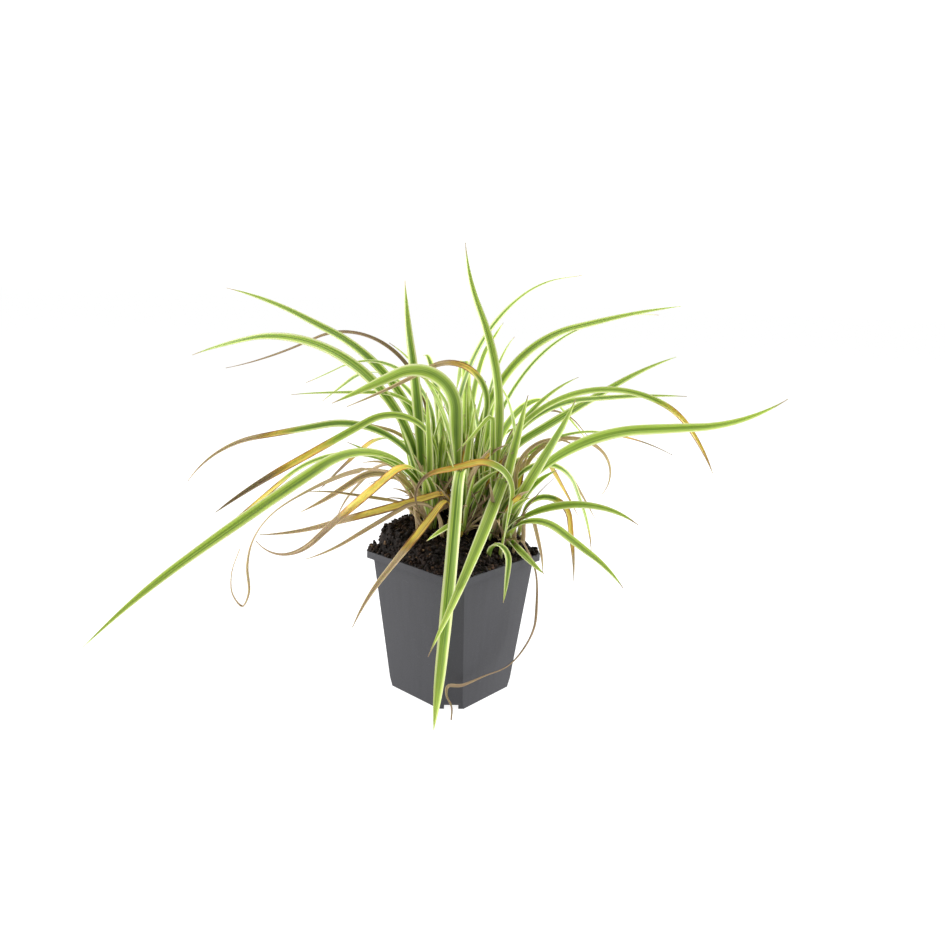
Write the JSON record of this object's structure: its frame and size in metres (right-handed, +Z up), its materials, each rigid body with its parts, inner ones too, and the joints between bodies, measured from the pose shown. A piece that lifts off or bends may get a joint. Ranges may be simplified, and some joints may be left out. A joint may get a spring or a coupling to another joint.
{
  "type": "potted ornamental sedge",
  "caption": "Variegated sedge with long arching strap leaves, growing in a square plastic nursery pot filled with dark potting soil.",
  "frame": {"origin": "middle of the pot's underside, on the surface that the pot stands on", "axes": "+Z up; the pot's four sides face +X, -X, +Y and -Y, and the longest leaves hang out towards -X -Y and +X"},
  "size_m": [0.3759, 0.4188, 0.3016],
  "materials": {
    "pot": "smooth anthracite moulded plastic, slightly satin",
    "soil": "crumbly dark brown potting soil",
    "green_leaf": "fresh leaf, blue-green middle with creamy yellow margins, satin",
    "yellow_leaf": "ageing leaf, yellow and orange with brown streaks, satin",
    "dry_leaf": "dry dead leaf, tan to purple-brown, matte"
  },
  "bodies": {
    "root": {"pot": "pot", "soil": "soil", "shoots_left": "green_leaf", "shoots_middle": "green_leaf", "shoots_back": "green_leaf", "shoots_right_back": "green_leaf", "shoots_right": "green_leaf", "green_leaf_right_front": "green_leaf", "yellow_leaf_middle": "yellow_leaf", "yellow_leaf_left": "yellow_leaf", "yellow_leaf_left_front": "yellow_leaf", "yellow_leaf_front": "yellow_leaf", "yellow_leaf_right": "yellow_leaf", "dry_leaf_back_left": "dry_leaf", "dry_leaf_left": "dry_leaf", "dry_leaf_left_short": "dry_leaf", "dry_leaf_left_low": "dry_leaf", "dry_leaf_left_thin": "dry_leaf", "dry_leaf_left_front": "dry_leaf", "dry_leaf_right_hooked": "dry_leaf", "dry_leaf_right_back": "dry_leaf", "dry_leaf_right": "dry_leaf", "dry_leaf_rim": "dry_leaf", "dry_leaf_far_back": "dry_leaf", "dry_leaf_far_left": "dry_leaf", "dry_leaf_far_right": "dry_leaf", "dry_strand_right": "dry_leaf", "dry_strand_left": "dry_leaf"}
  },
  "joints": []
}
